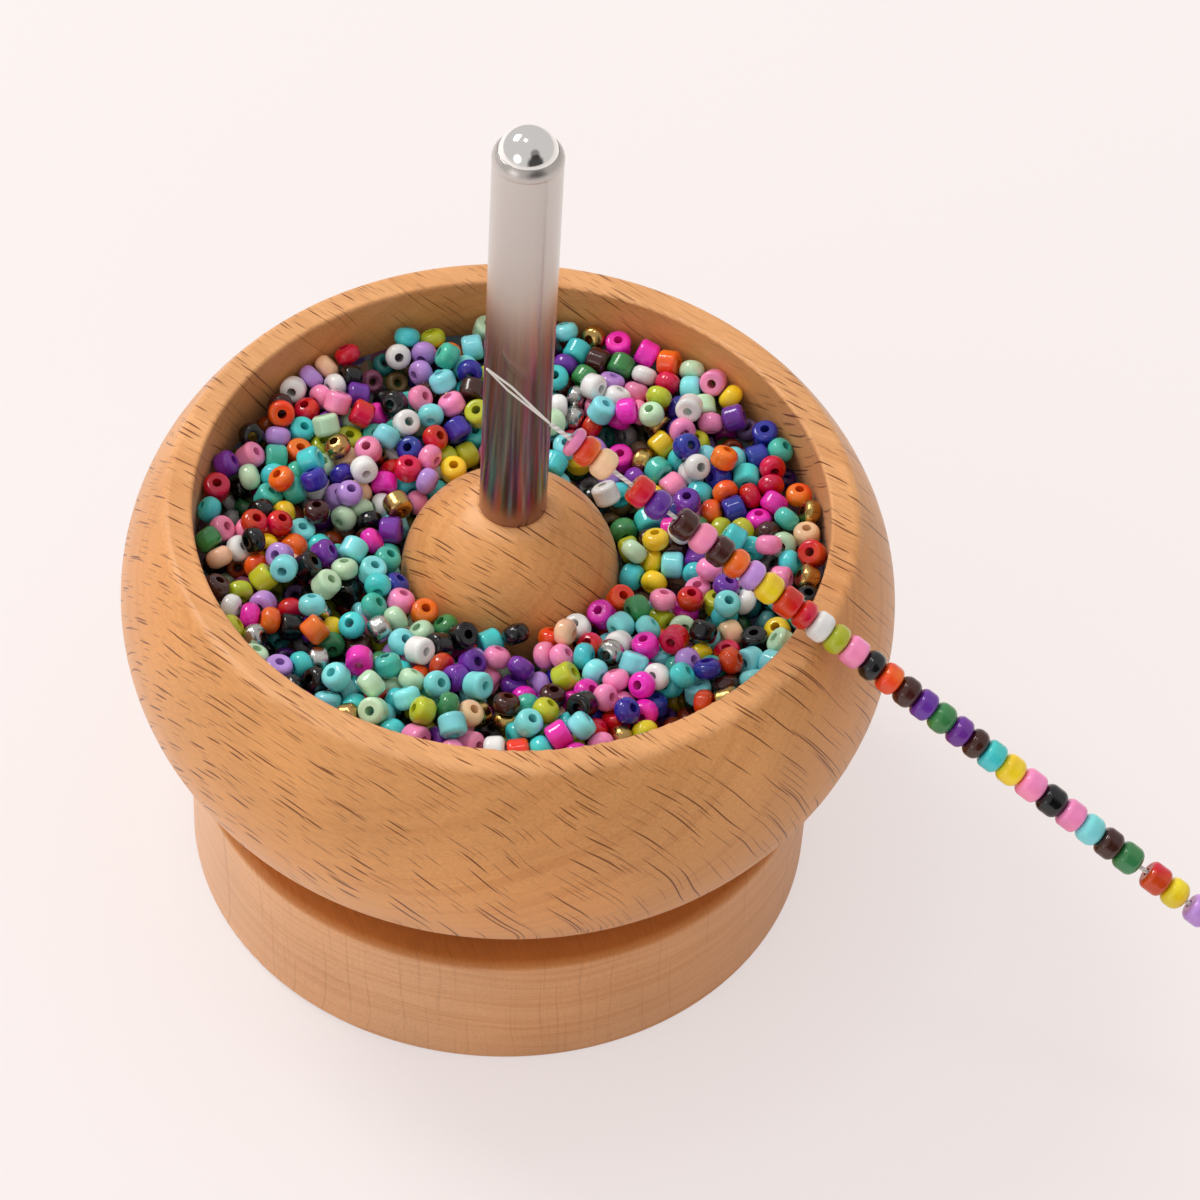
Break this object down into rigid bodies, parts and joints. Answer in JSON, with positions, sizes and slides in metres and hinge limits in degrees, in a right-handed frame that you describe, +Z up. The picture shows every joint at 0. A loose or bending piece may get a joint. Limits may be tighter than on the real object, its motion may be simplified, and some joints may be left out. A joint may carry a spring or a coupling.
{
  "type": "bead spinner",
  "caption": "Wooden bead spinner: a bulging bowl of seed beads turns on a round base about a steel post, with a needle and a string of beads.",
  "frame": {"origin": "under the middle of the base, on the surface that it stands on", "axes": "+Z up along the post and the turning axis; +X to the side that the string of beads leaves on; -Y towards the viewer of the picture"},
  "size_m": [0.1595, 0.1112, 0.1389],
  "materials": {
    "beech_bowl": "oiled satin beech with short dark flecks",
    "beech_base": "oiled satin beech, paler",
    "steel": "ground",
    "satin_steel": "satin tube",
    "polished_steel": "mirror polished",
    "zinc_steel": "zinc plated",
    "cage_brass": "stamped",
    "nylon": "natural",
    "bead_fill": "mixed beads below the surface, seen only between the upper ones",
    "thread_white": "twisted thread",
    "bead_turquoise": "glossy",
    "bead_aqua": "glossy",
    "bead_teal": "glossy",
    "bead_mint": "glossy",
    "bead_pink": "glossy",
    "bead_magenta": "glossy",
    "bead_white": "glossy",
    "bead_lilac": "glossy",
    "bead_purple": "glossy",
    "bead_cobalt": "glossy",
    "bead_black": "glossy",
    "bead_brown": "glossy",
    "bead_red": "glossy",
    "bead_orange": "glossy",
    "bead_yellow": "glossy",
    "bead_olive": "glossy",
    "bead_green": "glossy",
    "bead_peach": "glossy",
    "bead_gold": "glossy",
    "bead_silver": "glossy"
  },
  "bodies": {
    "base": {"base_block": "beech_base", "spindle": "steel", "spindle_screw": "zinc_steel", "spindle_washer": "zinc_steel"},
    "inner_ring": {"bearing_inner_ring": "steel", "strand_aqua": "bead_aqua", "strand_black": "bead_black", "strand_brown": "bead_brown", "strand_green": "bead_green", "strand_lilac": "bead_lilac", "strand_olive": "bead_olive", "strand_orange": "bead_orange", "strand_peach": "bead_peach", "strand_pink": "bead_pink", "strand_purple": "bead_purple", "strand_red": "bead_red", "strand_turquoise": "bead_turquoise", "strand_white": "bead_white", "strand_yellow": "bead_yellow", "needle": "steel", "thread": "thread_white", "thread_knot": "thread_white"},
    "cage": {"bearing_cage": "cage_brass", "bearing_balls": "polished_steel"},
    "bowl": {"bowl": "beech_bowl", "bearing_outer_ring": "steel", "bearing_shields": "zinc_steel", "post_tube": "satin_steel", "post_ball": "polished_steel", "post_bush": "nylon", "bead_bed": "bead_fill", "beads_aqua": "bead_aqua", "beads_black": "bead_black", "beads_brown": "bead_brown", "beads_cobalt": "bead_cobalt", "beads_gold": "bead_gold", "beads_green": "bead_green", "beads_lilac": "bead_lilac", "beads_magenta": "bead_magenta", "beads_mint": "bead_mint", "beads_olive": "bead_olive", "beads_orange": "bead_orange", "beads_peach": "bead_peach", "beads_pink": "bead_pink", "beads_purple": "bead_purple", "beads_red": "bead_red", "beads_silver": "bead_silver", "beads_teal": "bead_teal", "beads_turquoise": "bead_turquoise", "beads_white": "bead_white", "beads_yellow": "bead_yellow"}
  },
  "joints": [
    {"name": "bowl_lift", "type": "slide", "parent": "base", "child": "inner_ring", "axis": [0, 0, 1], "range_m": [0, 0.095]},
    {"name": "bowl_spin", "type": "hinge", "parent": "inner_ring", "child": "bowl", "pos_m": [0, 0, 0.0271], "axis": [0, 0, 1], "continuous": true},
    {"name": "cage_turn", "type": "hinge", "parent": "inner_ring", "child": "cage", "pos_m": [0, 0, 0.0271], "axis": [0, 0, 1], "continuous": true}
  ],
  "couplings": [
    {"joint": "cage_turn", "follows": "bowl_spin", "ratio": 0.6391}
  ]
}
